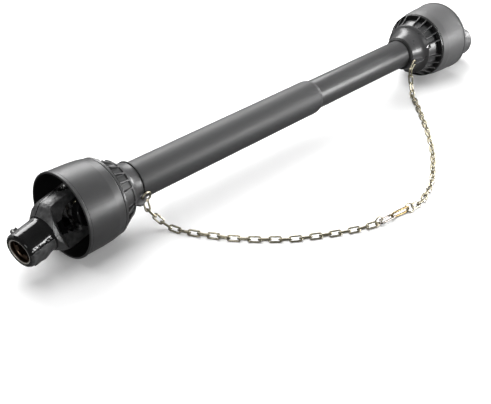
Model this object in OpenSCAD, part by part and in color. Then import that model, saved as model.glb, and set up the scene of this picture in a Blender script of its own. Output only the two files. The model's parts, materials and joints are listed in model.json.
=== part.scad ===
// Guarded telescopic drive shaft with a universal joint at each end.
// The shaft axis runs along X at height axis_h; +X points to the far end, +Z is up.
// The origin is on the floor, midway between the two bell rims.

/* [Overall] */
// Distance between the rims of the two guard bells
rim_span = 978; // [940:2:1060]
// Radius of the guard bell at its rim, which is also the height of the shaft axis
bell_r = 70; // [69:0.5:72]
// Angle of the whole drive line about its axis
phase = -18; // [-30:1:30]

/* [Guard bells and collars] */
// Wall thickness of a bell
bell_wall = 3; // [2.4:0.2:3.4]
// Number of pockets around each collar
pockets = 24; // [20:2:28]
// Thickness of a collar rib
rib_t = 2.4; // [1.6:0.2:3]

/* [Guard tubes] */
// Outer radius of the larger guard tube
tube_o_r = 31.5; // [31:0.1:31.6]
// Outer radius of the smaller guard tube
tube_i_r = 27.5; // [27:0.1:27.8]
// Wall thickness of both guard tubes
tube_wall = 3; // [2.4:0.2:3]
// Where the larger guard tube ends, measured from the middle
tube_o_end = 80; // [60:2:120]
// Where the smaller guard tube ends inside the larger one
tube_i_end = -110; // [-110:2:-60]

/* [Yokes] */
// Radius of the hub of an end yoke
hub_r = 27.7; // [27:0.1:28.4]
// Distance from the joint centre to the face of the end yoke
yoke_len = 111; // [106:1:116]
// Half the width across the ears of every yoke
ear_reach = 42; // [41:0.5:42.5]
// Half the width of one yoke ear
ear_half = 20.5; // [20:0.5:21]
// Tilt of the near end yoke about its inner pins at rest
near_tilt = 10; // [0:1:15]
// Swing of the near end yoke about its outer pins at rest
near_swing = 4; // [0:1:8]
// Tilt of the far end yoke about its inner pins at rest
far_tilt = 19; // [10:1:20]

/* [Spline bore] */
// Radius at the bottom of the spline grooves
spline_major = 17.5; // [17.4:0.05:17.6]
// Radius at the lands of the spline
spline_minor = 14.9; // [14.8:0.05:15.1]
// Width of one spline groove
spline_w = 8.7; // [8.5:0.1:9]

/* [Joint kit] */
// Radius of a bearing cup
cup_r = 13.5; // [13.5:0.1:13.6]
// Radius of a trunnion of the cross
trunnion_r = 8.2; // [8.1:0.05:8.2]
// Needle rollers in one cup
needles = 24; // [20:1:24]

/* [Chain] */
// Diameter of the plain tube that stands for a chain
chain_d = 8; // [7:0.2:8]

/* [Hidden] */
$fn = 64;

half = rim_span / 2;
axis_h = bell_r;
joint_u = 24;              // joint centre, behind the bell rim
ear_az_near = -170;        // chain ear around the axis, from +Y towards +Z
ear_az_far = -172;
ear_r = 41.5;              // distance of the ear holes from the axis
sleeve_near = 132.5;       // where the sleeve of each collar ends
sleeve_far = 136;
screw_u = 101;             // screws that hold a collar on its tube
screw_az_near = 184;
screw_az_far = 159;
bell_screw_r = 50;         // screws that hold a bell on its collar
pin_x = -85;               // push pin, measured from the joint centre
pin_z = -21.6;
pin_az = 60;               // push pin around the hub
pin_travel = 8;

plastic = [0.16, 0.165, 0.17];
collar_grey = [0.30, 0.305, 0.31];
tube_grey = [0.27, 0.275, 0.28];
black_paint = [0.03, 0.03, 0.032];
bare_steel = [0.55, 0.54, 0.52];
zinc = [0.78, 0.72, 0.56];
gold = [0.68, 0.52, 0.28];
rubber = [0.02, 0.02, 0.02];
nylon = [0.85, 0.84, 0.78];

// ---------- frames ----------
// near: x grows from the rim towards the middle; far is its mirror image
module at_end(far = false) {
    translate([far ? half : -half, 0, axis_h]) mirror([far ? 1 : 0, 0, 0]) children();
}
module at_joint(far = false) { at_end(far) translate([joint_u, 0, 0]) rotate([phase, 0, 0]) children(); }
module at_cross(far = false) { at_joint(far) rotate([0, far ? -far_tilt : -near_tilt, 0]) children(); }
module at_end_yoke(far = false) { at_cross(far) rotate([0, 0, far ? 0 : near_swing]) children(); }

// a body of revolution about x; points are [x, r]
module turned(points) { rotate([0, 90, 0]) rotate_extrude($fn = 96) polygon([for (p = points) [p[1], p[0]]]); }
module rod(r, x0, x1) { translate([x0, 0, 0]) rotate([0, 90, 0]) cylinder(r = r, h = x1 - x0); }
module rod_y(r, y0, y1) { translate([0, y0, 0]) rotate([-90, 0, 0]) cylinder(r = r, h = y1 - y0); }
module rod_z(r, z0, z1) { translate([0, 0, z0]) cylinder(r = r, h = z1 - z0); }
// a radial piece at angle az from +Y towards +Z: its own x stays along the shaft, its z points outwards
module radial(az) { rotate([az - 90, 0, 0]) children(); }

// ---------- lobed drive profile ----------
module lobes2d(r, d = 13) {
    polygon([for (a = [0, 120, 240]) for (i = [-6:6]) [d * cos(a) + r * cos(a + 10 * i), d * sin(a) + r * sin(a + 10 * i)]]);
}
module lobed(r, x0, x1) { translate([x0, 0, 0]) rotate([0, 90, 0]) linear_extrude(height = x1 - x0) lobes2d(r); }

// ---------- guard bell ----------
function arc(cx, cr, r, a0, a1, n) = [for (i = [0:n]) let (a = a0 + (a1 - a0) * i / n) [cx + r * cos(a), cr + r * sin(a)]];
module guard_bell() {
    back = bell_r - 4;
    difference() {
        turned(concat(
            [[0, bell_r - bell_wall - 0.4], [0, bell_r - 1], [1, bell_r], [4.6, bell_r], [5.6, bell_r - 0.9], [40, bell_r - 1.7], [58, bell_r - 3]],
            [[69.4, 64.9], [71.9, 64.4], [72.3, 63.9], [72.3, 61.3], [70, 61.3], [70, 46], [67, 46]],
            arc(62.5, back - 9, 4.5, 10, 70, 4),
            [[56, bell_r - 6.2], [30, bell_r - bell_wall - 1.6]]));
        for (a = [45:90:315]) rotate([a, 0, 0]) translate([0, 0, bell_screw_r]) rod(2.1, 60, 75);
    }
}
// ---------- collar: flange, ribs, flared sleeve, chain ear ----------
module collar(tube_r, end_u, end_r, screw_az) {
    difference() {
        union() {
            // flange, pit under the rim, conical floor with its lip, and the sleeve
            turned([[70, 45], [70, 61], [72.4, 61], [72.8, 64], [77.4, 64], [78, 63.2], [78, 60.8], [74, 60.8], [74, 53.4], [83, 53.4], [101.6, 48.9],
                    [102, 50.4], [103.8, 50], [104.6, 48.6], [107, 44.4], [110, 41.4], [114, 39.4], [120, 37.4], [127, 35.6],
                    [end_u - 0.6, end_r + 0.4], [end_u, end_r], [end_u, tube_r], [97, tube_r], [97, 40], [80, 40], [80, 45]]);
            // ribs
            intersection() {
                turned([[73, 50], [73, 62], [78, 63], [84, 60], [92, 55.8], [102, 50.4], [103, 50], [103, 46]]);
                for (i = [0:pockets / 2 - 1]) rotate([i * 360 / pockets + 3, 0, 0]) translate([73, -70, -rib_t / 2]) cube([31, 140, rib_t]);
            }
            children(0);
        }
        children(1);
        for (a = [45:90:315]) rotate([a, 0, 0]) translate([0, 0, bell_screw_r]) rod(2.05, 66, 76.5);
        for (a = [0, 120, 240]) radial(screw_az + a) translate([screw_u, 0, 0]) { rod_z(2.05, 25, 60); rod_z(4.2, 44.6, 60); }
        // the bore stays clear where the rib plates would close it
        rod(tube_r, 96, 140);
    }
}
// chain ears: a flat lug on the sleeve, with a round hole or a slot
module lug(az, outline) { radial(az) translate([0, 1.6, 0]) rotate([90, 0, 0]) linear_extrude(height = 3.2) polygon(outline); }
module near_ear() { lug(ear_az_near, [[105, 42], [106, 49], [109, 53], [115, 54], [120, 51], [126, 47.5], [129.6, 44.6], [130.6, 41], [130, 37.6], [127, 34], [108, 36]]); }
module near_ear_hole() { radial(ear_az_near) translate([122.5, 0, ear_r]) rod_y(3, -8, 8); }
module far_ear() { lug(ear_az_far, [[108, 42], [112, 45.4], [120, 47], [137, 47], [142, 45.4], [143.6, 42], [142.6, 38.4], [139, 37], [134.6, 36], [130, 34], [112, 37]]); }
module far_ear_hole() { radial(ear_az_far) for (u = [136.2, 138.8]) translate([u, 0, ear_r]) rod_y(1.9, -8, 8); radial(ear_az_far) translate([136.2, -8, ear_r - 1.9]) cube([2.6, 16, 3.8]); }
module bell_screws() {
    for (a = [45:90:315]) rotate([a, 0, 0]) translate([0, 0, bell_screw_r]) difference() {
        union() {
            rod(2, 66.8, 76);
            turned([[64.3, 0], [64.3, 2.6], [65.1, 3.8], [66.88, 4], [66.88, 0]]);
        }
        translate([63, -0.5, -2.4]) cube([2.4, 1, 4.8]);
        translate([63, -2.4, -0.5]) cube([2.4, 4.8, 1]);
    }
}
module tube_screws(tube_r, screw_az) {
    for (a = [0, 120, 240]) radial(screw_az + a) translate([screw_u, 0, 0]) difference() {
        union() {
            rod_z(2, tube_r - 4, 44.8);
            translate([0, 0, 44.65]) cylinder(r = 4, h = 2);
            translate([0, 0, 46.65]) intersection() { translate([0, 0, -3.2]) sphere(r = 5.1); cylinder(r = 4, h = 3); }
        }
        translate([-0.55, -2.6, 47]) cube([1.1, 5.2, 4]);
        translate([-2.6, -0.55, 47]) cube([5.2, 1.1, 4]);
    }
}
module tube_seal(tube_r, out_r, u) {
    turned([[u + 0.05, tube_r + 0.02], [u + 0.05, out_r - 0.5], [u + 0.6, out_r], [u + 2.6, out_r], [u + 4, out_r - 1.4], [u + 4.4, tube_r + 1], [u + 4.4, tube_r + 0.02]]);
}
// split ring that runs in the groove of the inner yoke
module guard_bearing() {
    difference() {
        turned([[86.3, 30.06], [86.3, 39.4], [86.9, 39.95], [91.1, 39.95], [91.7, 39.4], [91.7, 30.06]]);
        translate([84, -2.5, 0]) cube([10, 5, 50]);
        for (a = [60:60:300]) rotate([a, 0, 0]) translate([84, -3, 36]) cube([10, 6, 6]);
    }
}
// ---------- guard tubes ----------
module outer_tube() {
    x0 = -half + 97.2;
    difference() {
        turned([[x0, tube_o_r], [tube_o_end - 13.4, tube_o_r], [tube_o_end - 7.4, tube_o_r - 0.4], [tube_o_end - 1.2, tube_i_r + 1.7], [tube_o_end, tube_i_r + 1],
                [tube_o_end, tube_i_r + 0.4], [tube_o_end - 4, tube_i_r + 0.4], [tube_o_end - 13.4, tube_o_r - tube_wall], [x0, tube_o_r - tube_wall]]);
        for (a = [0, 120, 240]) radial(screw_az_near + a) translate([-half + screw_u, 0, 0]) rod_z(2.05, 20, 40);
    }
}
module inner_tube() {
    x1 = half - 97.2;
    difference() {
        turned([[tube_i_end, tube_i_r], [x1, tube_i_r], [x1, tube_i_r - tube_wall], [tube_i_end, tube_i_r - tube_wall]]);
        for (a = [0, 120, 240]) radial(screw_az_far + a) translate([half - screw_u, 0, 0]) rod_z(2.05, 20, 40);
    }
}
// ---------- yokes; the joint centre is the origin ----------
// plan of the two arms, seen along their pins; the hub lies towards -x
module arm_plan(hub_end, hub_w) {
    union() {
        circle(r = ear_half);
        polygon([[0, -ear_half], [0, ear_half], [-48, ear_half + 0.8], [-56, hub_w], [hub_end, hub_w], [hub_end, -hub_w], [-56, -hub_w], [-48, -ear_half - 0.8]]);
    }
}
module fork_cuts() {
    // gap between the ears, with a round bottom
    translate([-14, -60, -24]) cube([60, 120, 48]);
    translate([-14, 0, 0]) rod_y(24, -60, 60);
    // seats of the cups and grooves of the circlips
    rod_z(cup_r + 0.02, -60, 60);
    for (m = [0, 1]) mirror([0, 0, m]) rod_z(14.4, 37.3, 38.8);
    for (m = [0, 1]) mirror([0, 0, m]) translate([0, 0, 40.4]) cylinder(r1 = cup_r, r2 = cup_r + 2.4, h = 2.4);
}
module end_yoke() {
    difference() {
        union() {
            intersection() {
                turned([[22, 0], [22, ear_reach - 3], [18, ear_reach], [-38, ear_reach], [-44, ear_reach - 0.8], [-50, ear_reach - 3], [-56, ear_reach - 7.4], [-61, hub_r + 3.4],
                        [-65, hub_r + 0.8], [-69, hub_r], [-yoke_len + 3, hub_r], [-yoke_len + 0.8, hub_r - 1.4], [-yoke_len, hub_r - 3], [-yoke_len, 0]]);
                translate([0, 0, -60]) linear_extrude(height = 120) arm_plan(-yoke_len - 1, hub_r + 1);
            }
            // housing of the push pin
            rotate([pin_az, 0, 0]) translate([pin_x, 0, pin_z - 1.4]) rod_y(10.2, -27.5, 25);
        }
        fork_cuts();
        // splined bore, with a chamfered mouth
        rod(spline_minor, -yoke_len - 1, -20);
        for (a = [0:60:300]) rotate([a, 0, 0]) intersection() {
            translate([-yoke_len - 1, -spline_w / 2, 10]) cube([yoke_len - 20, spline_w, 12]);
            rod(spline_major, -yoke_len - 2, -20);
        }
        turned([[-yoke_len - 1, 0], [-yoke_len - 1, 20.8], [-yoke_len + 1.2, 18.6], [-yoke_len + 7, 18.6], [-yoke_len + 7.8, spline_major - 0.2], [-yoke_len + 9.8, spline_minor], [-yoke_len + 9.8, 0]]);
        // push pin bore and its spring chamber
        rotate([pin_az, 0, 0]) translate([pin_x, 0, pin_z]) { rod_y(6.05, -30, 30); rod_y(8.2, -30, -6); }
    }
}
// drawn at rest: the full diameter of the pin stands in the spline groove
module push_pin() {
    rotate([pin_az, 0, 0]) translate([pin_x, 0, pin_z]) difference() {
        union() {
            rod_y(6, 14, 33.5);
            rod_y(3.4, 5.9, 14.1);
            rod_y(6, -8, 6);
            rod_y(3.6, -22.6, -7.9);
            translate([0, 33.5, 0]) rotate([-90, 0, 0]) cylinder(r1 = 6, r2 = 4.6, h = 1.6);
        }
        translate([0, 36, 0]) rod_y(1.6, -2, 1);
    }
}
// coil spring drawn as its turns: touching rings that alternate in lean
module push_pin_spring() {
    rotate([pin_az, 0, 0]) translate([pin_x, 0, pin_z]) for (i = [0:4]) translate([0, -9.6 - 2.15 * i, 0]) rotate([90, 0, 0])
        rotate_extrude($fn = 48) translate([6, 0]) circle(r = 0.95, $fn = 16);
}
module push_pin_washer() {
    rotate([pin_az, 0, 0]) translate([pin_x, 0, pin_z]) difference() { rod_y(8.18, -24.4, -21.2); rod_y(3.7, -26, -20); }
}
module inner_yoke(lobe_r) {
    difference() {
        intersection() {
            turned([[-22, 0], [-22, ear_reach - 3], [-18, ear_reach], [37, ear_reach], [42, ear_reach - 1.4], [46, 38], [50, 35], [53, 33], [56, 32], [62, 32], [62, 30], [68, 30],
                    [68, 32], [71.6, 32], [72.4, 31.2], [72.4, 0]]);
            mirror([1, 0, 0]) translate([0, -60, 0]) rotate([-90, 0, 0]) linear_extrude(height = 120) arm_plan(-77, 34);
        }
        mirror([1, 0, 0]) rotate([90, 0, 0]) fork_cuts();
        lobed(lobe_r + 0.05, 44, 80);
        translate([58, 0, 0]) rod_y(5.02, -50, 50);
    }
}
// slotted spring pin across hub and tube
module roll_pin() {
    translate([58, 0, 0]) difference() {
        rod_y(5, -29.5, 29.5);
        rod_y(3, -32, 32);
        translate([0, -33, -0.8]) cube([8, 66, 1.6]);
    }
}
module outer_drive() {
    difference() {
        lobed(11, -half + joint_u + 44.5, 75);
        lobed(7.5, -half + joint_u + 40, 76);
        translate([-half + joint_u + 58, 0, 0]) rod_y(5.02, -50, 50);
    }
}
module inner_drive() {
    difference() {
        lobed(7, -115, half - joint_u - 44.5);
        lobed(3.6, -116, half - joint_u - 40);
        translate([half - joint_u - 58, 0, 0]) rod_y(5.02, -50, 50);
    }
}
// ---------- joint kit; inner pins along y, outer pins along z ----------
module cross() {
    difference() {
        union() {
            sphere(r = 15.2);
            rod_y(12.6, -18.4, 18.4);
            rod_z(12.6, -18.4, 18.4);
            rod_y(trunnion_r, -34, 34);
            rod_z(trunnion_r, -34, 34);
        }
        rod_y(1.6, -35, 35);
        rod_z(1.6, -35, 35);
        rotate([45, 0, 0]) { rod_z(2.5, 12.5, 22); rod_z(4.1, 15.85, 22); }
    }
}
module per_pin(axes) { for (a = axes) rotate([a, 0, 0]) children(); }   // 0 is +z, 90 is -y, 180 is -z, 270 is +y
module cross_seals() {
    per_pin([0, 90, 180, 270]) rotate_extrude()
        polygon([[trunnion_r + 0.03, 18.45], [12.4, 18.45], [12.9, 19.2], [12.9, 20.1], [11.6, 20.7], [trunnion_r + 0.03, 20.7]]);
}
module grease_nipple() {
    rotate([45, 0, 0]) {
        rod_z(2.45, 13, 16);
        translate([0, 0, 15.9]) cylinder(r = 3.9, h = 3.2, $fn = 6);
        translate([0, 0, 19]) cylinder(r1 = 2.9, r2 = 2, h = 2.6);
        translate([0, 0, 21.5]) cylinder(r = 1.9, h = 1.4);
        translate([0, 0, 24]) sphere(r = 2.6);
    }
}
module cups(axes) {
    per_pin(axes) difference() {
        union() { rod_z(cup_r, 20.8, 36.9); translate([0, 0, 36.8]) cylinder(r1 = cup_r, r2 = cup_r - 0.5, h = 0.5); }
        rod_z(10.55, 20, 34.3);
        rod_z(4, 36.7, 38);
    }
}
module needle_set(axes) {
    per_pin(axes) for (i = [0:needles - 1]) rotate(i * 360 / needles) translate([9.38, 0, 0]) rod_z(1.12, 21.8, 33.9);
}
module circlips(axes) {
    per_pin(axes) difference() {
        union() {
            rotate([0, 0, 112]) rotate_extrude(angle = 316) translate([11.4, 37.35]) square([2.9, 1.4]);
            for (s = [-1, 1]) rotate(90 + s * 24) translate([10.6, 0, 0]) rod_z(2.1, 37.35, 38.75);
        }
        for (s = [-1, 1]) rotate(90 + s * 24) translate([10.2, 0, 0]) rod_z(0.9, 37, 39);
    }
}
// ---------- chain ----------
module torus(R, r) { rotate_extrude($fn = 48) translate([R, 0]) circle(r = r, $fn = 20); }
// closed oblong loop of round wire in the x-y plane: c is the distance between the two end bars
module wire_loop(c, w, r) {
    for (s = [-1, 1]) translate([0, s * w, 0]) rod(r, -c / 2 + w, c / 2 - w);
    for (m = [0, 1]) mirror([m, 0, 0]) translate([c / 2 - w, 0, 0]) rotate([0, 0, -90]) rotate_extrude(angle = 180) translate([w, 0]) circle(r = r, $fn = 20);
}
near_route = [[-358.6, -41.4, 50.4], [-358.4, -42.3, 44], [-355, -45, 36], [-350, -48, 28.5], [-341, -56, 15.5], [-334, -65, 6.6], [-328, -80, 4.1], [-318, -101, 4.1], [-305, -124, 4.1], [-288, -152, 4.1],
              [-268, -178, 4.1], [-246, -202, 4.1], [-223, -224, 4.1], [-196, -243, 4.1], [-168, -260, 4.1], [-141, -275, 4.1], [-124, -283, 4.1], [-107, -290, 4.4]];
far_route = [[-13.5, -304.8, 4.4], [4, -304, 4.1], [27, -297, 4.1], [54, -287, 4.1], [82, -273, 4.1], [121, -248, 4.1], [151, -227, 4.1], [184, -200, 4.1], [226, -162, 4.1],
             [268, -120, 4.1], [300, -88, 4.1], [318, -68, 4.1], [330, -56, 4.8], [338.5, -48, 9.6], [340.4, -44, 20], [339.6, -42.4, 31], [338.4, -41.4, 42], [337.6, -41, 48.6]];
function spline_pt(p, i, t) = let (a = p[max(i - 1, 0)], b = p[i], c = p[i + 1], d = p[min(i + 2, len(p) - 1)])
    0.5 * ((2 * b) + (c - a) * t + (2 * a - 5 * b + 4 * c - d) * t * t + (3 * b - a - 3 * c + d) * t * t * t);
function smooth(p, n) = concat([for (i = [0:len(p) - 2]) for (k = [0:n - 1]) spline_pt(p, i, k / n)], [p[len(p) - 1]]);
function unit(v) = v / norm(v);
module swept(path, r, sides) {
    n = len(path);
    rings = [for (i = [0:n - 1]) let (t = unit(path[min(i + 1, n - 1)] - path[max(i - 1, 0)]), s = unit(cross([0.2, -0.1, 1], t)), u = cross(t, s))
        [for (k = [0:sides - 1]) path[i] + r * cos(k * 360 / sides) * s + r * sin(k * 360 / sides) * u]];
    polyhedron(points = [for (g = rings) for (q = g) q],
        faces = concat([[for (k = [0:sides - 1]) k]], [[for (k = [sides - 1:-1:0]) (n - 1) * sides + k]],
            [for (i = [0:n - 2]) for (k = [0:sides - 1]) [i * sides + k, (i + 1) * sides + k, (i + 1) * sides + (k + 1) % sides, i * sides + (k + 1) % sides]]),
        convexity = 8);
}
chain_dir = -8.4;   // direction of the hooks on the floor
ear_link_tilt = -50;   // lean of the link that hangs in the far ear

// ---------- nodes ----------
module near_guard_bell() { color(plastic) at_end() guard_bell(); }
module near_guard_collar() { color(collar_grey) at_end() collar(tube_o_r + 0.02, sleeve_near, 34.4, screw_az_near) { near_ear(); near_ear_hole(); } }
module near_bell_screws() { color(bare_steel) at_end() bell_screws(); }
module near_tube_screws() { color(bare_steel) at_end() tube_screws(tube_o_r, screw_az_near); }
module near_tube_seal() { color(rubber) at_end() tube_seal(tube_o_r, 36.3, sleeve_near); }
module near_guard_bearing() { color(nylon) at_end() guard_bearing(); }
module outer_guard_tube() { color(tube_grey) translate([0, 0, axis_h]) outer_tube(); }
module near_end_yoke() { color(black_paint) at_end_yoke() end_yoke(); }
module near_push_pin() { color(bare_steel) at_end_yoke() push_pin(); }
module near_push_pin_spring() { color(bare_steel) at_end_yoke() push_pin_spring(); }
module near_push_pin_washer() { color(bare_steel) at_end_yoke() push_pin_washer(); }
module near_cross() { color(bare_steel) at_cross() cross(); }
module near_cross_seals() { color(rubber) at_cross() cross_seals(); }
module near_grease_nipple() { color(zinc) at_cross() grease_nipple(); }
module near_end_yoke_cups() { color(bare_steel) at_end_yoke() cups([0, 180]); }
module near_end_yoke_needles() { color(bare_steel) at_end_yoke() needle_set([0, 180]); }
module near_end_yoke_circlips() { color(bare_steel) at_end_yoke() circlips([0, 180]); }
module near_inner_yoke_cups() { color(bare_steel) at_joint() cups([90, 270]); }
module near_inner_yoke_needles() { color(bare_steel) at_joint() needle_set([90, 270]); }
module near_inner_yoke_circlips() { color(bare_steel) at_joint() circlips([90, 270]); }
module near_inner_yoke() { color(black_paint) at_joint() inner_yoke(11); }
module near_roll_pin() { color(bare_steel) at_joint() roll_pin(); }
module outer_drive_tube() { color(bare_steel) translate([0, 0, axis_h]) rotate([phase, 0, 0]) outer_drive(); }
module far_guard_bell() { color(plastic) at_end(true) guard_bell(); }
module far_guard_collar() { color(collar_grey) at_end(true) collar(tube_i_r + 0.02, sleeve_far, 32.6, screw_az_far) { far_ear(); far_ear_hole(); } }
module far_bell_screws() { color(bare_steel) at_end(true) bell_screws(); }
module far_tube_screws() { color(bare_steel) at_end(true) tube_screws(tube_i_r, screw_az_far); }
module far_tube_seal() { color(rubber) at_end(true) tube_seal(tube_i_r, 31.6, sleeve_far); }
module far_guard_bearing() { color(nylon) at_end(true) guard_bearing(); }
module inner_guard_tube() { color(tube_grey) translate([0, 0, axis_h]) inner_tube(); }
module far_end_yoke() { color(black_paint) at_end_yoke(true) end_yoke(); }
module far_push_pin() { color(bare_steel) at_end_yoke(true) push_pin(); }
module far_push_pin_spring() { color(bare_steel) at_end_yoke(true) push_pin_spring(); }
module far_push_pin_washer() { color(bare_steel) at_end_yoke(true) push_pin_washer(); }
module far_cross() { color(bare_steel) at_cross(true) cross(); }
module far_cross_seals() { color(rubber) at_cross(true) cross_seals(); }
module far_grease_nipple() { color(zinc) at_cross(true) grease_nipple(); }
module far_end_yoke_cups() { color(bare_steel) at_end_yoke(true) cups([0, 180]); }
module far_end_yoke_needles() { color(bare_steel) at_end_yoke(true) needle_set([0, 180]); }
module far_end_yoke_circlips() { color(bare_steel) at_end_yoke(true) circlips([0, 180]); }
module far_inner_yoke_cups() { color(bare_steel) at_joint(true) cups([90, 270]); }
module far_inner_yoke_needles() { color(bare_steel) at_joint(true) needle_set([90, 270]); }
module far_inner_yoke_circlips() { color(bare_steel) at_joint(true) circlips([90, 270]); }
module far_inner_yoke() { color(black_paint) at_joint(true) inner_yoke(7); }
module far_roll_pin() { color(bare_steel) at_joint(true) roll_pin(); }
module inner_drive_tube() { color(bare_steel) translate([0, 0, axis_h]) rotate([phase, 0, 0]) inner_drive(); }
module near_chain_rings() {
    color(zinc) {
        // ring through the ear, and the ring that carries the hook
        at_end() radial(ear_az_near) translate([131.2, 0, ear_r]) torus(8.2, 1.6);
        translate([-95.3, -292.7, 8.7]) rotate([0, 0, chain_dir]) rotate([90, 0, 0]) torus(7.5, 1.2);
    }
}
module near_chain() { color(zinc) swept(smooth(near_route, 4), chain_d / 2, 10); }
module near_chain_hook() {
    color(zinc) translate([-78.3, -295.2, 5.2]) rotate([0, 0, chain_dir]) rotate([0, -1.8, 0]) wire_loop(32.5, 4.5, 1.8);
}
module far_chain_hook() {
    color(gold) translate([-47.6, -299.7, 6.3]) rotate([0, 0, chain_dir]) rotate([90, 0, 0]) wire_loop(37.4, 4.5, 1.8);
}
module far_chain() { color(zinc) swept(smooth(far_route, 4), chain_d / 2, 10); }
module far_hook_ring() { color(zinc) translate([-25.8, -302.92, 6.3]) rotate([0, 0, chain_dir]) rotate([42.8, 0, 0]) torus(7.5, 1.2); }
module far_ear_ring() { color(zinc) translate([344.1, -41.1, 60.7]) rotate([0, ear_link_tilt, 0]) rotate([90, 0, 0]) wire_loop(18.8, 3.95, 1.25); }

near_guard_bell();
near_guard_collar();
near_bell_screws();
near_tube_screws();
near_tube_seal();
near_guard_bearing();
outer_guard_tube();
near_end_yoke();
near_push_pin();
near_push_pin_spring();
near_push_pin_washer();
near_cross();
near_cross_seals();
near_grease_nipple();
near_end_yoke_cups();
near_end_yoke_needles();
near_end_yoke_circlips();
near_inner_yoke_cups();
near_inner_yoke_needles();
near_inner_yoke_circlips();
near_inner_yoke();
near_roll_pin();
outer_drive_tube();
far_guard_bell();
far_guard_collar();
far_bell_screws();
far_tube_screws();
far_tube_seal();
far_guard_bearing();
inner_guard_tube();
far_end_yoke();
far_push_pin();
far_push_pin_spring();
far_push_pin_washer();
far_cross();
far_cross_seals();
far_grease_nipple();
far_end_yoke_cups();
far_end_yoke_needles();
far_end_yoke_circlips();
far_inner_yoke_cups();
far_inner_yoke_needles();
far_inner_yoke_circlips();
far_inner_yoke();
far_roll_pin();
inner_drive_tube();
near_chain_rings();
near_chain();
near_chain_hook();
far_chain_hook();
far_chain();
far_hook_ring();
far_ear_ring();
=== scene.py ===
import json
import math

import bmesh
import bpy
import numpy as np
from mathutils import Matrix, Vector

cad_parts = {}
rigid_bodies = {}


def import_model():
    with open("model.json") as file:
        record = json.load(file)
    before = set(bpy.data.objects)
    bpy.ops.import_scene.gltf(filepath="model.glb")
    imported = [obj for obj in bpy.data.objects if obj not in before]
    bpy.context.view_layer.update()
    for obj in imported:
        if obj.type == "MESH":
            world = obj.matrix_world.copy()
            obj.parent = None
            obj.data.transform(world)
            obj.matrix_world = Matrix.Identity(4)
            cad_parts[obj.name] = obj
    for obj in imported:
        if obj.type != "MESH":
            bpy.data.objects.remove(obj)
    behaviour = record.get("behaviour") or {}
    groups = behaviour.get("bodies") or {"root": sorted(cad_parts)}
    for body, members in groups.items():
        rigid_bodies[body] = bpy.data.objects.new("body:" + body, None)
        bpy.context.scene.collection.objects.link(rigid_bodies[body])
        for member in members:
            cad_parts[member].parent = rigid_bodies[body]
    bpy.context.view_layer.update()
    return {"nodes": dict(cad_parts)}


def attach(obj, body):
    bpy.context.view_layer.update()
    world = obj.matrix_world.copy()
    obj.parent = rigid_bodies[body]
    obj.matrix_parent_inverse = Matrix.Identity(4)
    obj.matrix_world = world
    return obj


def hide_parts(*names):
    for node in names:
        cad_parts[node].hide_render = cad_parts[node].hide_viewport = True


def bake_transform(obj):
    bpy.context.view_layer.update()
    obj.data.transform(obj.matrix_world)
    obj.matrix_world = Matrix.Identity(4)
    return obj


for old in list(bpy.data.objects):
    bpy.data.objects.remove(old)
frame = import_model()
nodes = frame["nodes"]
scene = bpy.context.scene
MM = 0.001
ROOM, FLOOR_GLOW, KEY, STRIP, TOP, CARD, SIDE = 0.2, 0.0, 68.0, 48.0, 42.0, 9.0, 30.0
HALF, AXIS_H, JOINT_U, PHASE = 489.0, 70.0, 24.0, -18.0


# ------------------------------------------------------------------ camera
cam_data = bpy.data.cameras.new("camera")
cam_data.sensor_width = 36.0
cam_data.lens = 70.62
cam_data.clip_start, cam_data.clip_end = 0.05, 60.0
camera = bpy.data.objects.new("camera", cam_data)
scene.collection.objects.link(camera)
camera.location = (-1.1675, -1.0255, 0.834)
camera.rotation_mode = "QUATERNION"
camera.rotation_quaternion = Vector((0.6153, 0.588, -0.5249)).to_track_quat("-Z", "Y")
scene.camera = camera


# ------------------------------------------------------------------ mesh helpers
def new_mesh(name, verts, faces, smooth=True):
    mesh = bpy.data.meshes.new(name)
    mesh.from_pydata([tuple(v) for v in verts], [], [tuple(int(i) for i in f) for f in faces])
    mesh.validate()
    mesh.update()
    if smooth:
        mesh.polygons.foreach_set("use_smooth", [True] * len(mesh.polygons))
    obj = bpy.data.objects.new(name, mesh)
    scene.collection.objects.link(obj)
    return obj


def put(obj, *mats):
    obj.data.materials.clear()
    for m in mats:
        obj.data.materials.append(m)
    return obj


def sweep_closed(points, radius, sides=10, normal=(0, 0, 1)):
    """Tube round a closed planar loop. radius is a number or one per point."""
    p = np.array(points, float)
    n = len(p)
    r = np.full(n, radius) if np.isscalar(radius) else np.array(radius)
    t = np.roll(p, -1, 0) - np.roll(p, 1, 0)
    t /= np.linalg.norm(t, axis=1)[:, None]
    z = np.array(normal, float)
    u = np.cross(z, t)
    u /= np.linalg.norm(u, axis=1)[:, None]
    a = np.arange(sides) * 2 * math.pi / sides
    v = (p[:, None, :] + r[:, None, None] * (np.cos(a)[None, :, None] * u[:, None, :] + np.sin(a)[None, :, None] * z)).reshape(-1, 3)
    f = []
    for i in range(n):
        j = (i + 1) % n
        for k in range(sides):
            m = (k + 1) % sides
            f.append((i * sides + k, i * sides + m, j * sides + m, j * sides + k))
    return v, f


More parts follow.
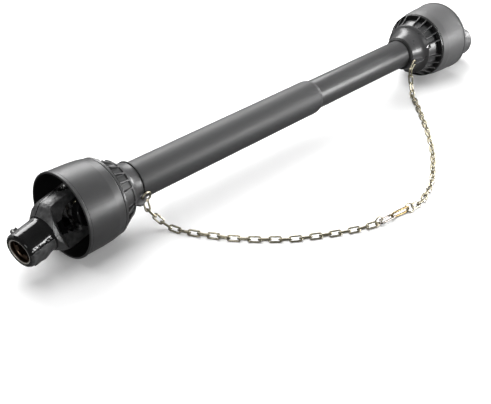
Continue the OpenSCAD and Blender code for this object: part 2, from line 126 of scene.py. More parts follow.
def sweep_open(points, radius, sides=12):
    """Tube along an open line, closed with rounded ends."""
    p = np.array(points, float)
    n = len(p)
    r = np.full(n, radius) if np.isscalar(radius) else np.array(radius, float)
    t = np.gradient(p, axis=0)
    t /= np.linalg.norm(t, axis=1)[:, None]
    ref = np.array([0.0, 0.0, 1.0]) if abs(t[0][2]) < 0.8 else np.array([1.0, 0.0, 0.0])
    u = ref - t[0] * (ref @ t[0])
    u /= np.linalg.norm(u)
    rings, rad, tang, us = [], [], [], []
    for i in range(n):
        u = u - t[i] * (u @ t[i])
        u /= np.linalg.norm(u)
        us.append(u.copy())
    for s, i, sign in ((0, 0, -1), (1, n - 1, 1)):
        caps = [(math.cos(q), math.sin(q)) for q in (math.radians(d) for d in (80, 55, 28))]
        part = [(p[i] + sign * t[i] * r[i] * sn * 0.6, r[i] * c, us[i], t[i]) for c, sn in caps]
        if s == 0:
            first = part
        else:
            last = part[::-1]
    body = [(p[i], r[i], us[i], t[i]) for i in range(n)]
    allr = first + body + last
    a = np.arange(sides) * 2 * math.pi / sides
    v = []
    for c, rr, uu, tt in allr:
        w = np.cross(tt, uu)
        v.extend(c + rr * (math.cos(q) * uu + math.sin(q) * w) for q in a)
    f = []
    m = len(allr)
    for i in range(m - 1):
        for k in range(sides):
            q = (k + 1) % sides
            f.append((i * sides + k, i * sides + q, (i + 1) * sides + q, (i + 1) * sides + k))
    f.append(tuple(range(sides))[::-1])
    f.append(tuple((m - 1) * sides + k for k in range(sides)))
    return np.array(v), f


def lathe(profile, steps=160, closed=True):
    """Surface of revolution about X. profile is [x, r] in millimetres; the result is in metres about the shaft axis."""
    p = np.array(profile, float) * MM
    n = len(p)
    a = np.arange(steps) * 2 * math.pi / steps
    v = np.zeros((n, steps, 3))
    v[:, :, 0] = p[:, 0][:, None]
    v[:, :, 1] = p[:, 1][:, None] * np.cos(a)[None]
    v[:, :, 2] = p[:, 1][:, None] * np.sin(a)[None]
    f = []
    for i in range(n if closed else n - 1):
        j = (i + 1) % n
        for k in range(steps):
            m = (k + 1) % steps
            f.append((i * steps + k, j * steps + k, j * steps + m, i * steps + m))
    return v.reshape(-1, 3), f


def rounded(points, radius, steps=4):
    """A closed polygon with its corners rounded. Each point is (x, r) or (x, r, own radius)."""
    out = []
    n = len(points)
    for i in range(n):
        a, b, c = (np.array(points[(i + k) % n][:2], float) for k in (-1, 0, 1))
        r = points[i][2] if len(points[i]) > 2 else radius
        u, w = a - b, c - b
        lu, lw = np.linalg.norm(u), np.linalg.norm(w)
        if lu < 1e-9 or lw < 1e-9 or r <= 0:
            out.append(b)
            continue
        u, w = u / lu, w / lw
        ang = math.acos(max(-1, min(1, float(u @ w))))
        if ang > math.radians(176):
            out.append(b)
            continue
        d = min(r / math.tan(ang / 2), 0.46 * lu, 0.46 * lw)
        rr = d * math.tan(ang / 2)
        centre = b + (u + w) / np.linalg.norm(u + w) * (rr / math.sin(ang / 2))
        s, e = b + u * d - centre, b + w * d - centre
        full = math.acos(max(-1, min(1, float(s @ e) / (rr * rr))))
        sign = 1 if s[0] * e[1] - s[1] * e[0] > 0 else -1
        for k in range(steps + 1):
            q = sign * full * k / steps
            out.append(centre + np.array([s[0] * math.cos(q) - s[1] * math.sin(q), s[0] * math.sin(q) + s[1] * math.cos(q)]))
    return out


def rot(axis, deg):
    c, s = math.cos(math.radians(deg)), math.sin(math.radians(deg))
    return {
        "x": np.array([[1, 0, 0], [0, c, -s], [0, s, c]]),
        "y": np.array([[c, 0, s], [0, 1, 0], [-s, 0, c]]),
        "z": np.array([[c, -s, 0], [s, c, 0], [0, 0, 1]]),
    }[axis]


def catmull(pts, n):
    p = np.array(pts, float)
    out = []
    for i in range(len(p) - 1):
        a, b, c, d = p[max(i - 1, 0)], p[i], p[i + 1], p[min(i + 2, len(p) - 1)]
        for k in range(n):
            t = k / n
            out.append(0.5 * (2 * b + (c - a) * t + (2 * a - 5 * b + 4 * c - d) * t * t + (3 * b - a - 3 * c + d) * t**3))
    out.append(p[-1])
    return np.array(out)


class Line:
    """A polyline by its length, with its tangent at any length."""

    def __init__(self, pts):
        self.p = np.array(pts, float)
        d = np.linalg.norm(np.diff(self.p, axis=0), axis=1)
        self.s = np.concatenate([[0], np.cumsum(d)])
        self.length = float(self.s[-1])

    def at(self, s):
        s = min(max(s, 0), self.length)
        return np.array([np.interp(s, self.s, self.p[:, k]) for k in range(3)])

    def tangent(self, s, h):
        d = self.at(s + h) - self.at(s - h)
        return d / np.linalg.norm(d)


# ------------------------------------------------------------------ chains, first of all the pieces
CHAIN_DIR = -8.4
WIRE, PITCH, LINK_W = 3.0, 16.3, 11.2
near_route = [[-358.6, -41.4, 50.4], [-358.4, -42.3, 44], [-355, -45, 36], [-350, -48, 28.5], [-341, -56, 15.5], [-334, -65, 6.6], [-328, -80, 4.1], [-318, -101, 4.1], [-305, -124, 4.1], [-288, -152, 4.1],
              [-268, -178, 4.1], [-246, -202, 4.1], [-223, -224, 4.1], [-196, -243, 4.1], [-168, -260, 4.1], [-141, -275, 4.1], [-124, -283, 4.1], [-107, -290, 4.4]]
far_route = [[-13.5, -304.8, 4.4], [4, -304, 4.1], [27, -297, 4.1], [54, -287, 4.1], [82, -273, 4.1], [121, -248, 4.1], [151, -227, 4.1], [184, -200, 4.1], [226, -162, 4.1],
             [268, -120, 4.1], [300, -88, 4.1], [318, -68, 4.1], [330, -56, 4.8], [338.5, -48, 9.6], [340.4, -44, 20], [339.6, -42.4, 31], [338.4, -41.4, 42], [337.6, -41, 48.6]]
dir_x = np.array([math.cos(math.radians(CHAIN_DIR)), math.sin(math.radians(CHAIN_DIR)), 0.0])
near_hook_ring_c = np.array([-95.3, -292.7, 8.7])
far_hook_ring_c = np.array([-25.8, -302.92, 6.3])


def link_loop():
    """Centreline of one link, long way along x, in the x-y plane: an oblong with round corners and one welded side."""
    a, b, rc = (PITCH + WIRE) / 2, (LINK_W - WIRE) / 2, 3.1
    pts = []
    for cx, cy, a0 in ((a - rc, b - rc, 0), (-a + rc, b - rc, 90), (-a + rc, -b + rc, 180), (a - rc, -b + rc, 270)):
        for k in range(6):
            q = math.radians(a0 + 18 * k)
            pts.append((cx + rc * math.cos(q), cy + rc * math.sin(q), 0))
        if a0 == 0:
            for x in (3.4, 1.6, 0.8, 0.0, -0.8, -1.6, -3.4):
                pts.append((x, b, 0))
        if a0 == 180:
            for x in (-3, 0, 3):
                pts.append((x, -b, 0))
    return np.array(pts)


def chain(name, path_pts, rings_up, seed):
    """A run of links from the wire of one ring to the wire of another. Returns the object and its centreline."""
    line = Line(catmull(path_pts, 12))
    first = PITCH / 2 - 1.3
    count = int(round((line.length - 2 * first) / PITCH)) + 1
    step = (line.length - 2 * first) / (count - 1)
    base = link_loop()
    weld = 1 + 0.16 * np.exp(-((base[:, 0] / 1.1) ** 2)) * (base[:, 1] > 0)
    rng = np.random.default_rng(seed)
    # a frame carried from the middle both ways
    fine = np.linspace(0, line.length, 400)
    tang = np.array([line.tangent(s, 5.0) for s in fine])
    ups = np.zeros((400, 3))
    mid = 200
    u = np.array([0, 0, 1.0])
    for order in (range(mid, 400), range(mid, -1, -1)):
        u = np.array([0, 0, 1.0])
        for i in order:
            u = u - tang[i] * (u @ tang[i])
            u /= np.linalg.norm(u)
            ups[i] = u
    verts, faces, centres = [], [], []
    for i in range(count):
        s = first + step * i
        c = line.at(s)
        t = line.tangent(s, PITCH / 2)
        u = np.array([np.interp(s, fine, ups[:, k]) for k in range(3)])
        u = u - t * (u @ t)
        u /= np.linalg.norm(u)
        side = np.cross(u, t)
        roll = math.radians((45 if (i + rings_up) % 2 == 0 else -45) + rng.uniform(-5, 5))
        yy = side * math.cos(roll) + u * math.sin(roll)
        zz = -side * math.sin(roll) + u * math.cos(roll)
        local, f = sweep_closed(base, weld * WIRE / 2, 10)
        world = c + local @ np.array([t, yy, zz])
        world[:, 2] += max(0.0, 0.05 - world[:, 2].min())
        faces.extend([tuple(a + len(verts) for a in q) for q in f])
        verts.extend(world)
        centres.extend([s] * len(local))
    obj = new_mesh(name, np.array(verts) * MM, faces)
    return obj, line, np.array(centres)


EAR_R = 41.5
near_az, far_az = math.radians(-170), math.radians(-172)
ear_ring_c = np.array([-HALF + 131.2, EAR_R * math.cos(near_az), AXIS_H + EAR_R * math.sin(near_az)])
ear_ring_bottom = ear_ring_c + 8.2 * np.array([0, 0.174, -0.985])
near_end_wire = near_hook_ring_c - 7.5 * math.cos(math.radians(32)) * dir_x + np.array([0, 0, -7.5 * math.sin(math.radians(32))])
far_start_wire = far_hook_ring_c + 7.5 * dir_x
ear_link_c = np.array([344.1, -41.1, 60.7])
ear_link_dir = np.array([math.cos(math.radians(50)), 0, math.sin(math.radians(50))])
ear_link_bottom = ear_link_c - 9.4 * ear_link_dir

near_chain, near_line, near_s = chain("near_chain_links", [ear_ring_bottom] + near_route[1:-1] + [near_end_wire], 0, 3)
far_chain, far_line, far_s = chain("far_chain_links", [ear_link_bottom] + far_route[::-1][1:-1] + [far_start_wire], 1, 5)


def ring(name, centre, matrix, big, small):
    q = np.arange(72) * 2 * math.pi / 72
    v, f = sweep_closed(np.stack([big * np.cos(q), big * np.sin(q), 0 * q], 1), small * (1 + 0.12 * np.exp(-(((q - 2.2) / 0.16) ** 2))), 14)
    return new_mesh(name, (v @ matrix.T + centre) * MM, f)


def wire_loop_pts(c, w, n=12):
    """Centreline of a long loop of wire in the x-y plane, with its end bars c apart."""
    pts = []
    for sign in (1, -1):
        for k in range(n + 1):
            q = math.radians(-90 + 180 * k / n)
            pts.append((sign * (c / 2 - w + w * math.cos(q)), sign * w * math.sin(q), 0))
    return np.array(pts)


def snap_hook(name, centre, matrix, c, w, r, gate):
    """Sprung snap hook: a bent wire body with a pin eye, and a hinged gate bar along one side."""
    v, f = sweep_closed(wire_loop_pts(c, w), r, 14)
    verts, faces = [v @ matrix.T + centre], list(f)
    total = len(v)
    gate_line = [(-c / 2 + w + 1.0, gate * (w - 0.2), 0), (-2.0, gate * (w + 0.15), 0), (c / 2 - w - 1.0, gate * (w - 0.1), 0)]
    g, gf = sweep_open(catmull(gate_line, 6), r * 1.12, 14)
    verts.append(g @ matrix.T + centre)
    faces += [tuple(a + total for a in q) for q in gf]
    total += len(g)
    for x in (-c / 2 + w + 1.2,):
        pin, pf = sweep_open([(x, gate * w, -r * 1.25), (x, gate * w, 0), (x, gate * w, r * 1.25)], r * 0.5, 12)
        verts.append(pin @ matrix.T + centre)
        faces += [tuple(a + total for a in q) for q in pf]
        total += len(pin)
    return new_mesh(name, np.concatenate(verts) * MM, faces)


m_dir = rot("z", CHAIN_DIR)
ring1 = ring("near_ear_ring", ear_ring_c, rot("x", -260), 8.2, 1.6)
near_hook_ring = ring("near_hook_ring", near_hook_ring_c, m_dir @ rot("x", 90), 7.5, 1.2)
far_hook_ring = ring("far_hook_ring_wire", far_hook_ring_c, m_dir @ rot("x", 42.8), 7.5, 1.2)
v, f = sweep_closed(link_loop(), WIRE / 2, 12)
far_ear_ring = new_mesh("far_ear_link", (v @ (rot("y", -50) @ rot("x", 90)).T + ear_link_c) * MM, f)
near_hook = snap_hook("near_snap_hook", np.array([-78.3, -295.2, 5.2]), m_dir @ rot("y", -1.8), 32.5, 4.5, 1.7, 1)
far_hook = snap_hook("far_snap_hook", np.array([-47.6, -299.7, 6.3]), m_dir @ rot("x", 90), 37.4, 4.5, 1.7, 1)

CHAIN_TOTAL = near_line.length + 75.0 + far_line.length


def share_blend(obj, shares):
    """All of a link's points share one place between the two guards, worked out from their share; the mesh is briefly
    set to those places, its transform baked, and its points set back.
    """
    final = np.array([v.co for v in obj.data.vertices], float)
    y = np.clip(np.array(shares, float), 0, 1)
    t = 0.5 - np.sin(np.arcsin(1 - 2 * y) / 3)
    spread = np.zeros_like(final)
    spread[:, 0] = -0.36 + 0.72 * t
    obj.data.vertices.foreach_set("co", spread.ravel())
    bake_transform(obj)
    obj.data.vertices.foreach_set("co", final.ravel())
    obj.data.update()


near_share = near_line.length / CHAIN_TOTAL
far_share = (near_line.length + 75.0) / CHAIN_TOTAL
share_blend(near_chain, near_s / CHAIN_TOTAL)
share_blend(far_chain, 1 - far_s / CHAIN_TOTAL)
middle = (near_share + far_share) / 2
for piece in (near_hook_ring, near_hook, far_hook, far_hook_ring):
    share_blend(piece, [middle] * len(piece.data.vertices))
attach(ring1, "guard_near")
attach(far_ear_ring, "guard_far")
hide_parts("near_chain")
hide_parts("far_chain")
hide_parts("near_chain_rings")
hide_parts("near_chain_hook")
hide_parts("far_chain_hook")
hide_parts("far_hook_ring")
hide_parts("far_ear_ring")
print("chain lengths", near_line.length, far_line.length)


# ------------------------------------------------------------------ materials
def material(name):
    m = bpy.data.materials.new(name)
    m.use_nodes = True
    t = m.node_tree
    bsdf = t.nodes["Principled BSDF"]
    return m, t, bsdf


def n_new(t, kind, **props):
    n = t.nodes.new(kind)
    for k, v in props.items():
        if k in n.inputs and not hasattr(type(n), k):
            n.inputs[k].default_value = v
        else:
            setattr(n, k, v)
    return n


def coords(t, scale=(1, 1, 1)):
    tc = t.nodes.new("ShaderNodeTexCoord")
    mp = t.nodes.new("ShaderNodeMapping")
    mp.inputs["Scale"].default_value = scale
    t.links.new(tc.outputs["Object"], mp.inputs["Vector"])
    return mp.outputs["Vector"]


def noise(t, vec, scale, detail=4.0, rough=0.55):
    n = t.nodes.new("ShaderNodeTexNoise")
    n.inputs["Scale"].default_value = scale
    n.inputs["Detail"].default_value = detail
    n.inputs["Roughness"].default_value = rough
    t.links.new(vec, n.inputs["Vector"])
    return n.outputs["Fac"]


def ramp(t, fac, stops):
    r = t.nodes.new("ShaderNodeValToRGB")
    e = r.color_ramp.elements
    while len(e) < len(stops):
        e.new(0.5)
    for i, (pos, col) in enumerate(stops):
        e[i].position = pos
        e[i].color = (*col, 1) if len(col) == 3 else col
    t.links.new(fac, r.inputs["Fac"])
    return r.outputs["Color"]


def remap(t, fac, a, b, lo=0.0, hi=1.0):
    n = t.nodes.new("ShaderNodeMapRange")
    n.inputs["From Min"].default_value = lo
    n.inputs["From Max"].default_value = hi
    n.inputs["To Min"].default_value = a
    n.inputs["To Max"].default_value = b
    t.links.new(fac, n.inputs["Value"])
    return n.outputs["Result"]


def bump(t, bsdf, height, strength, distance):
    b = t.nodes.new("ShaderNodeBump")
    b.inputs["Strength"].default_value = strength
    b.inputs["Distance"].default_value = distance
    t.links.new(height, b.inputs["Height"])
    t.links.new(b.outputs["Normal"], bsdf.inputs["Normal"])
    return b


def mix(t, a, b, fac):
    m = t.nodes.new("ShaderNodeMix")
    m.data_type = "RGBA"
    m.inputs[0].default_value = 0.5
    if hasattr(fac, "links") or hasattr(fac, "is_linked"):
        t.links.new(fac, m.inputs[0])
    else:
        m.inputs[0].default_value = fac
    for sock, v in ((m.inputs[6], a), (m.inputs[7], b)):
        if hasattr(v, "is_linked"):
            t.links.new(v, sock)
        else:
            sock.default_value = (*v, 1)
    return m.outputs[2]


def moulded(name, dark, light, r0, r1, grain=900, strength=0.12, stretch=(1, 1, 1)):
    """Moulded or extruded plastic: mottled colour, fine grain, uneven sheen."""
    m, t, b = material(name)
    v = coords(t, stretch)
    big = noise(t, v, 22, 3)
    t.links.new(ramp(t, big, [(0.3, dark), (0.7, light)]), b.inputs["Base Color"])
    t.links.new(remap(t, noise(t, v, 60, 4), r0, r1, 0.3, 0.7), b.inputs["Roughness"])
    fine = noise(t, v, grain, 2)
    bump(t, b, fine, strength, 0.0002)
    b.inputs["Specular IOR Level"].default_value = 0.5
    return m


def metal(name, dark, light, r0, r1, scale=60, metallic=1.0, strength=0.15, stretch=(1, 1, 1), grain=700):
    m, t, b = material(name)
    v = coords(t, stretch)
    t.links.new(ramp(t, noise(t, v, scale, 5), [(0.32, dark), (0.68, light)]), b.inputs["Base Color"])
    t.links.new(remap(t, noise(t, v, scale * 2.2, 4), r0, r1, 0.3, 0.7), b.inputs["Roughness"])
    bump(t, b, noise(t, v, grain, 3), strength, 0.0002)
    b.inputs["Metallic"].default_value = metallic
    return m


mat_bell = moulded("bell_plastic", (0.04, 0.04, 0.041), (0.052, 0.052, 0.053), 0.36, 0.44)
# lighter copy of the bell plastic for the far bell: painted light, the far end drawn lighter as if more brightly lit
mat_bell_far_painted_light = moulded("bell_plastic_far_painted_light", (0.082, 0.082, 0.083), (0.1, 0.1, 0.101), 0.44, 0.52)
# near-black copy of the bell plastic for the inside of the bells: painted shade
mat_bell_inside_painted_shade = moulded("bell_plastic_inside_painted_shade", (0.006, 0.006, 0.006), (0.011, 0.011, 0.011), 0.4, 0.55)
mat_collar = moulded("collar_plastic", (0.05, 0.05, 0.051), (0.064, 0.064, 0.065), 0.3, 0.38)
mat_collar_far = moulded("collar_plastic_far", (0.052, 0.052, 0.053), (0.066, 0.066, 0.067), 0.26, 0.34)
# near-black collar plastic for pits, rib flanks and the lip groove: painted shade
mat_pit_painted_shade = moulded("collar_plastic_pit_painted_shade", (0.006, 0.006, 0.006), (0.012, 0.012, 0.012), 0.4, 0.55)
mat_tube = moulded("tube_plastic", (0.045, 0.045, 0.046), (0.055, 0.055, 0.056), 0.48, 0.55, stretch=(0.12, 1, 1), grain=1400, strength=0.1)
mat_tube_far = moulded("tube_plastic_far", (0.045, 0.045, 0.046), (0.055, 0.055, 0.056), 0.32, 0.4, stretch=(0.12, 1, 1), grain=1400, strength=0.1)
mat_tube.node_tree.nodes["Principled BSDF"].inputs["Specular IOR Level"].default_value = 0.4
# darker collar plastic for the floors between the near collar's ribs: painted shade in the recesses
mat_floor_painted_shade = moulded("collar_plastic_floor_painted_shade", (0.02, 0.02, 0.0204), (0.034, 0.034, 0.0345), 0.4, 0.5, grain=600, strength=0.3)
# near-black glossy collar plastic for the flange: painted shade, a dark band between bell and ribs
mat_flange_painted_shade = moulded("collar_plastic_flange_painted_shade", (0.012, 0.012, 0.012), (0.02, 0.02, 0.02), 0.2, 0.3)
mat_seal = moulded("seal_rubber", (0.008, 0.008, 0.008), (0.014, 0.014, 0.014), 0.55, 0.7)
mat_bearing = moulded("bearing_nylon", (0.6, 0.59, 0.54), (0.68, 0.67, 0.62), 0.4, 0.5)
mat_yoke = metal("yoke_paint", (0.003, 0.003, 0.0032), (0.007, 0.007, 0.0072), 0.08, 0.17, 45, 0.0, 0.3, grain=300)
mat_yoke.node_tree.nodes["Principled BSDF"].inputs["Specular IOR Level"].default_value = 0.5
mat_bore = metal("bore_steel", (0.06, 0.04, 0.028), (0.2, 0.14, 0.1), 0.3, 0.5, 80)
mat_steel = metal("small_steel", (0.3, 0.3, 0.3), (0.48, 0.48, 0.47), 0.25, 0.4, 90)
mat_screw = metal("screw_steel", (0.7, 0.7, 0.7), (0.85, 0.85, 0.84), 0.12, 0.22, 120)
mat_screw_black = metal("screw_black", (0.01, 0.01, 0.01), (0.03, 0.03, 0.03), 0.3, 0.45, 120, 0.4)
# bright bare steel for the ring at the bore's mouth, lighter than the steel is: partly a painted highlight
mat_rim_steel_and_painted_highlight = metal("bore_rim_steel_and_painted_highlight", (0.6, 0.57, 0.52), (0.9, 0.87, 0.82), 0.35, 0.5, 150, 0.6)
# lighter grey yoke paint on a rough cast skin: the grain is real, the lighter colour is painted sheen and painted
# reflection
mat_cast_painted_sheen = metal("yoke_cast_painted_sheen", (0.02, 0.02, 0.0205), (0.075, 0.075, 0.076), 0.28, 0.5, 150, 0.0, 0.9, grain=420)
mat_cast_painted_sheen.node_tree.nodes["Principled BSDF"].inputs["Specular IOR Level"].default_value = 0.9
# a still lighter copy for the far yoke: painted sheen and painted reflection, the far hub drawn lighter
mat_far_cast_painted_sheen = metal("yoke_far_cast_painted_sheen", (0.07, 0.07, 0.071), (0.12, 0.12, 0.121), 0.34, 0.5, 120, 0.0, 0.4, grain=420)
mat_bearing_steel = metal("bearing_steel", (0.1, 0.1, 0.1), (0.22, 0.22, 0.22), 0.2, 0.35, 70)
mat_drive = metal("drive_tube_steel", (0.14, 0.14, 0.14), (0.24, 0.24, 0.24), 0.35, 0.5, 50, stretch=(0.15, 1, 1))
mat_chain = metal("chain_zinc", (0.44, 0.39, 0.28), (0.66, 0.61, 0.47), 0.24, 0.38, 160)
mat_hook_silver = metal("hook_silver", (0.38, 0.34, 0.31), (0.58, 0.54, 0.5), 0.22, 0.34, 150)
mat_hook_gold = metal("hook_gold", (0.3, 0.21, 0.09), (0.5, 0.38, 0.19), 0.22, 0.34, 150)
mat_nipple = metal("nipple_zinc", (0.5, 0.44, 0.3), (0.7, 0.65, 0.5), 0.2, 0.3, 150)

for o, m, s in ((near_chain, mat_chain, "chain_zinc"), (far_chain, mat_chain, "chain_zinc"), (ring1, mat_chain, "chain_zinc"), 
                (near_hook_ring, mat_chain, "chain_zinc"), (far_hook_ring, mat_chain, "chain_zinc"), (far_ear_ring, mat_chain, "chain_zinc"),
                (near_hook, mat_hook_silver, "hook_silver"), (far_hook, mat_hook_gold, "hook_gold")):
    put(o, m)


def cad_material(name):
    if name == "near_tube_screws":
        return mat_screw_black
    if "bell_screws" in name or "tube_screws" in name:
        return mat_screw
    for key, m in (("guard_bell", mat_bell), ("collar", mat_collar), ("seal", mat_seal), ("guard_bearing", mat_bearing), ("guard_tube", mat_tube),
                   ("nipple", mat_nipple), ("cups", mat_bearing_steel), ("needles", mat_bearing_steel), ("drive_tube", mat_drive)):
        if key in name:
            return m
    if name.endswith("yoke"):
        return mat_yoke
    if name.endswith("cross"):
        return mat_bearing_steel
    return mat_steel


for name, o in nodes.items():
    put(o, cad_material(name))
    mesh = o.data
    mesh.polygons.foreach_set("use_smooth", [True] * len(mesh.polygons))
    mesh.set_sharp_from_angle(angle=math.radians(32))


# ------------------------------------------------------------------ turned plastic pieces
def fix_normals(obj):
    b = bmesh.new()
    b.from_mesh(obj.data)
    bmesh.ops.recalc_face_normals(b, faces=b.faces)
    b.to_mesh(obj.data)
    b.free()


def turned_piece(name, profile, body, replaced, mat, far=False, steps=224, in_world=False):
    """A body of revolution on the shaft axis. The profile is in millimetres from the bell rim of its end, or along X."""
    pts = [(x if in_world else ((HALF - x) if far else (-HALF + x)), r) for x, r in profile]
    v, f = lathe(pts, steps)
    v[:, 2] += AXIS_H * MM
    obj = new_mesh(name, v, f)
    fix_normals(obj)
    put(obj, mat)
    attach(obj, body)
    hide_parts(replaced)
    return obj


bell_profile = rounded([(0, 66.9, 0.4), (0.1, 69.1, 0.7), (0.8, 70, 0.8), (4.5, 70, 0.6), (5.3, 68.75, 0.4), (6.4, 69.15, 0.6), (39, 68.35, 30), (57.4, 67.1, 8), (69.4, 64.9, 6), (72.3, 64.2, 1.2), (72.3, 61.3, 0.3), (70, 61.3, 0.2), (70, 46, 0.5),
                        (67, 46, 0.5), (66.6, 59.4, 4.5), (58.6, 63.4, 4), (30, 65.3, 20), (4, 66.5, 1)], 0.6, 6)
# the far bell takes the lighter copy, painted light
for end, mat in (("near", mat_bell), ("far", mat_bell_far_painted_light)):
    o = turned_piece(end + "_bell_shell", bell_profile, "guard_" + end, end + "_guard_bell", mat, far=end == "far")
    o.data.materials.append(mat_bell_inside_painted_shade)
    for p in o.data.polygons:          # the inside is painted near-black, painted shade in the hollow; on the far bell the outer face of the rim lip gets it too, a painted shadow line
        u = HALF - abs(p.center[0]) / MM
        r = math.hypot(p.center[1], p.center[2] - AXIS_H * MM) / MM
        if (u > 1.0 and r < 67.2 - 0.045 * u and u < 66.9) or (end == "far" and u < 2.4 and r > 66):
            p.material_index = 1


def seal_profile(tube_r, out_r, u):
    return rounded([(u + 0.05, tube_r + 0.02, 0.2), (u + 0.05, out_r - 0.1, 0.7), (u + 2.2, out_r, 1.2), (u + 4.4, tube_r + 1.3, 1.2), (u + 4.4, tube_r + 0.02, 0.2)], 0.5, 5)


turned_piece("near_sleeve_seal", seal_profile(31.5, 36.3, 132.5), "guard_near", "near_tube_seal", mat_seal)
turned_piece("far_sleeve_seal", seal_profile(27.5, 31.6, 136), "guard_far", "far_tube_seal", mat_seal, far=True)

outer_profile = rounded([(-391.8, 31.5, 0.6), (66.6, 31.5, 6), (72.6, 31.1, 5), (78.8, 29.2, 2.5), (80, 28.5, 0.5), (80, 27.9, 0.2), (76, 27.9, 0.5), (66.6, 28.5, 2), (-391.8, 28.5, 0.5)], 0.5, 6)
turned_piece("outer_tube_shell", outer_profile, "guard_near", "outer_guard_tube", mat_tube, in_world=True)
inner_profile = rounded([(-110, 27.5, 0.6), (391.8, 27.5, 0.6), (391.8, 24.5, 0.5), (-110, 24.5, 0.5)], 0.5, 4)
turned_piece("inner_tube_shell", inner_profile, "guard_far", "inner_guard_tube", mat_tube_far, in_world=True)


# ------------------------------------------------------------------ moulded collars and forged yokes
def melted(source, name, voxel, rounds, keep):
    """A copy of a construction mesh with its edges run round, as a mould or a forging leaves them."""
    src = nodes[source]
    obj = bpy.data.objects.new(name, src.data.copy())
    scene.collection.objects.link(obj)
    obj.matrix_world = src.matrix_world.copy()
    r = obj.modifiers.new("melt", "REMESH")
    r.mode = "VOXEL"
    r.voxel_size = voxel * MM
    r.use_smooth_shade = True
    k = obj.modifiers.new("ease", "SMOOTH")
    k.factor = 0.5
    k.iterations = rounds
    if keep < 1:
        d = obj.modifiers.new("thin", "DECIMATE")
        d.ratio = keep
    mesh = bpy.data.meshes.new_from_object(obj.evaluated_get(bpy.context.evaluated_depsgraph_get()))
    obj.modifiers.clear()
    obj.data = mesh
    obj.data.name = name
    mesh.polygons.foreach_set("use_smooth", [True] * len(mesh.polygons))
    return obj


def verts_of(obj):
    v = np.empty(len(obj.data.vertices) * 3)
    obj.data.vertices.foreach_get("co", v)
    return v.reshape(-1, 3)


def set_verts(obj, v):
    obj.data.vertices.foreach_set("co", np.ascontiguousarray(v).ravel())
    obj.data.update()


for end, body, mat in (("near", "guard_near", mat_collar), ("far", "guard_far", mat_collar_far)):
    o = melted(end + "_guard_collar", end + "_moulded_collar", 0.6, 3, 0.45)
    put(o, mat, mat_pit_painted_shade, mat_floor_painted_shade, mat_flange_painted_shade)
    c = np.array([q.center[:] for q in o.data.polygons]) / MM
    u = HALF - np.abs(c[:, 0])
    r = np.hypot(c[:, 1], c[:, 2] - AXIS_H)
    n = np.array([q.normal[:] for q in o.data.polygons])
    across = np.abs(-c[:, 1] / np.maximum(r, 1e-6) * n[:, 2] + (c[:, 2] - AXIS_H) / np.maximum(r, 1e-6) * n[:, 1])
    # painted shade: near-black in the pits behind the flange and round the bore
    pit = ((u > 73.5) & (u < 83.5) & (r < 60.6)) | ((u > 72) & (u < 101) & (r < 46))
    pit |= (u > 73.5) & (u < 102.4) & (across > 0.6) & (r < 63) & (r > 48)          # painted shade: near-black on the flanks of the ribs
    # painted shade: the flange is drawn near-black, all of it on the far collar and its rear edge on the near
    flange = (u < 78.6) & (r > 60.6) if end == "far" else (u > 76.8) & (u < 78.6) & (r > 60.6)
    # painted shade: the near collar's floors between the ribs are drawn darker
    painted_shade_floor = np.zeros(len(r), bool)
    if end == "near":
        # painted shade: near-black groove along the lip
        pit |= (u >= 99.0) & (u < 102.2) & (r < 50.0)
        painted_shade_floor = (u >= 83) & (u < 101.6) & (r < 53.8 - (u - 83) * 0.242)
    o.data.polygons.foreach_set("material_index", np.where(pit, 1, np.where(flange, 3, np.where(painted_shade_floor, 2, 0))))
    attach(o, body)
    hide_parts(end + "_guard_collar")


def hub_frame(end):
    """Origin and rows (x', y', z') of an end yoke's frame, in millimetres and in the world."""
    flip = np.diag([-1.0 if end == "far" else 1.0, 1, 1])
    m = flip @ rot("x", PHASE) @ rot("y", -19 if end == "far" else -10) @ rot("z", 0 if end == "far" else 4)
    return np.array([(HALF - JOINT_U) if end == "far" else (-HALF + JOINT_U), 0, AXIS_H]), m


def wavy(p, size, seed):
    """Smooth uneven field in -1..1 from a few crossed waves; p in millimetres."""
    rng = np.random.default_rng(seed)
    out = np.zeros(len(p))
    for k in range(14):
        d = rng.normal(size=3)
        d /= np.linalg.norm(d)
        wave = size * rng.uniform(0.7, 1.8)
        out += np.sin(p @ d * 2 * math.pi / wave + rng.uniform(0, 6.28))
    return out / 5.0


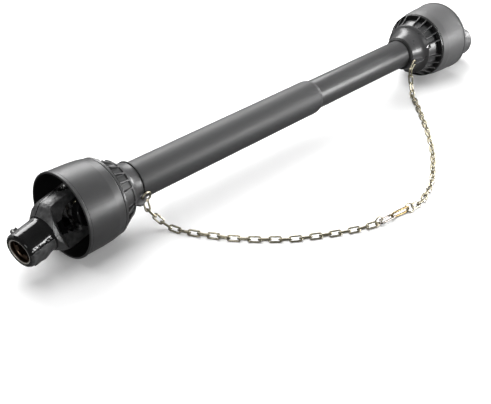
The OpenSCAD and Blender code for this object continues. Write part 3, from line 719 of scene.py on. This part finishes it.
for end in ("near", "far"):
    o = melted(end + "_end_yoke", end + "_forged_end_yoke", 0.55, 3, 0.5)
    origin, m = hub_frame(end)
    world = verts_of(o) / MM
    loc = (world - origin) @ m          # rows of m.T are the frame's axes
    x, y, z = loc.T
    r = np.hypot(y, z)
    turned_skin = (np.abs(r - 27.7) < 0.3) & (x > -107.2) & (x < -69.8)
    scale = np.ones(len(r))
    scale[turned_skin] = 27.7 / r[turned_skin]
    skin = r > 24.5                       # outside of the hub and the fork
    az = np.degrees(np.arctan2(z, y))
    away = np.abs((az - 220 + 180) % 360 - 180)
    rough = np.clip((58 - away) / 15, 0, 1) * (x < -69)   # uneven forging skin along the lower side of the hub
    rough = np.maximum(rough, np.clip((x + 72) / 8, 0, 1) * 0.8)
    amount = np.where(skin, rough, 0) * 0.26 * wavy(loc, 5.5, 11) + np.where(skin, 0.02, 0) * wavy(loc, 4.0, 5)
    out_dir = np.stack([0 * x, y, z], 1) / np.maximum(r, 1e-6)[:, None]
    loc2 = np.stack([x, y * scale, z * scale], 1) + out_dir * np.minimum(amount, 0.02)[:, None]
    # the pin housing runs out into the hub as a low swelling
    swell = np.exp(-(((x + 87) / 11.5) ** 2)) * np.exp(-((((az - 240 + 180) % 360 - 180) / 22) ** 2)) * (r > 27)
    loc2 += out_dir * (3.2 * swell)[:, None]
    # parting line over the arms
    seam = np.exp(-((y / 0.9) ** 2)) * np.clip((x + 68) / 4, 0, 1) * (r > 24) * (np.abs(z) > 20)
    loc2 -= out_dir * (0.7 * seam)[:, None]
    set_verts(o, (loc2 @ m.T + origin) * MM)
    put(o, mat_yoke, mat_bore, mat_rim_steel_and_painted_highlight, mat_cast_painted_sheen if end == "near" else mat_far_cast_painted_sheen)
    # bare metal in the bore and on its mouth; the ring at the mouth is bare steel drawn extra bright, partly a painted
    # highlight
    c = np.array([p.center[:] for p in o.data.polygons]) / MM
    cl = (c - origin) @ m
    cr = np.hypot(cl[:, 1], cl[:, 2])
    kind = np.zeros(len(cr), int)
    caz = np.degrees(np.arctan2(cl[:, 2], cl[:, 1]))
    # kind 3 is the lighter cast material: painted sheen on the near hub's lower and upper flanks, on the fork, and over
    # the whole far hub
    low = np.minimum(np.abs((caz - 226 + 180) % 360 - 180), np.abs((caz - 66 + 180) % 360 - 180) + 8)
    kind[(cr > 25) & (cl[:, 0] < -66) & ((low < 38 + 4 * wavy(cl, 12, 3)) | (end == "far"))] = 3
    kind[(cl[:, 0] > -63) & (cr > 24) & ((np.abs(cl[:, 1]) > 1.1) | (np.abs(cl[:, 2]) < 20))] = 3
    kind[(cr < 19.2) & (cl[:, 0] < -33)] = 1
    kind[(cr > 19.0) & (cr < 21.3) & (cl[:, 0] < -109.2)] = 2
    o.data.polygons.foreach_set("material_index", kind)
    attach(o, end + "_yoke_body")
    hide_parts(end + "_end_yoke")

for end, body in (("near", "drive_outer"), ("far", "drive_inner")):
    o = melted(end + "_inner_yoke", end + "_forged_inner_yoke", 0.6, 3, 0.5)
    put(o, mat_yoke)
    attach(o, body)
    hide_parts(end + "_inner_yoke")


# ------------------------------------------------------------------ floor and light
def plane(name, size, z=0.0):
    s = size / 2
    return new_mesh(name, [(-s, -s, z), (s, -s, z), (s, s, z), (-s, s, z)], [(0, 1, 2, 3)], smooth=False)


floor = plane("floor", 40.0)
m, t, b = material("floor_paper")
v = coords(t)
t.links.new(ramp(t, noise(t, v, 3, 3), [(0.3, (0.93, 0.93, 0.93)), (0.7, (0.96, 0.96, 0.96))]), b.inputs["Base Color"])
b.inputs["Roughness"].default_value = 0.9
b.inputs["Specular IOR Level"].default_value = 0.1
b.inputs["Emission Color"].default_value = (1, 1, 1, 1)
# the floor glows more the further it lies from the shaft: painted light that keeps the far floor white
d = t.nodes.new("ShaderNodeVectorMath")
d.operation = "LENGTH"
t.links.new(coords(t), d.inputs[0])
t.links.new(remap(t, d.outputs["Value"], FLOOR_GLOW, 0.95, 1.1, 2.6), b.inputs["Emission Strength"])
put(floor, m)
floor.visible_glossy = False
floor.visible_diffuse = False

# white backdrop for the camera, a dimmer room for the light it gives
world = bpy.data.worlds.new("studio")
scene.world = world
world.use_nodes = True
wt = world.node_tree
wt.nodes["Background"].inputs["Color"].default_value = (1, 1, 1, 1)
wt.nodes["Background"].inputs["Strength"].default_value = ROOM
white = wt.nodes.new("ShaderNodeBackground")
white.inputs["Color"].default_value = (1, 1, 1, 1)
white.inputs["Strength"].default_value = 1.05
path = wt.nodes.new("ShaderNodeLightPath")
dim = wt.nodes.new("ShaderNodeBackground")
dim.inputs["Color"].default_value = (1, 1, 1, 1)
dim.inputs["Strength"].default_value = 0.13
part = wt.nodes.new("ShaderNodeMixShader")
wt.links.new(path.outputs["Is Glossy Ray"], part.inputs[0])
wt.links.new(wt.nodes["Background"].outputs[0], part.inputs[1])
wt.links.new(dim.outputs[0], part.inputs[2])
both = wt.nodes.new("ShaderNodeMixShader")
wt.links.new(path.outputs["Is Camera Ray"], both.inputs[0])
wt.links.new(part.outputs[0], both.inputs[1])
wt.links.new(white.outputs[0], both.inputs[2])
wt.links.new(both.outputs[0], wt.nodes["World Output"].inputs["Surface"])


def area(name, loc, target, size, power, size_y=None):
    d = bpy.data.lights.new(name, "AREA")
    d.energy = power
    d.size = size
    if size_y:
        d.shape = "RECTANGLE"
        d.size_y = size_y
    o = bpy.data.objects.new(name, d)
    scene.collection.objects.link(o)
    o.location = loc
    o.rotation_mode = "QUATERNION"
    o.rotation_quaternion = (Vector(target) - Vector(loc)).to_track_quat("-Z", "Y")
    return o


area("key_box", (0.6, 1.5, 1.4), (0, 0, 0.05), 2.4, KEY, 1.0)
area("low_strip", (1.3, -1.7, 0.34), (0, 0, 0.07), 1.5, STRIP, 0.42)
area("top_box", (0.0, 0.3, 2.1), (0, 0, 0), 2.2, TOP, 2.0).visible_glossy = False
area("front_card", (-2.1, -1.0, 0.75), (-0.55, 0, 0.06), 0.4, CARD, 0.4)
area("side_card", (2.6, -0.35, 0.5), (-0.4, 0, 0.07), 0.6, SIDE, 0.6)

scene.view_settings.view_transform = "Standard"
scene.view_settings.look = "None"
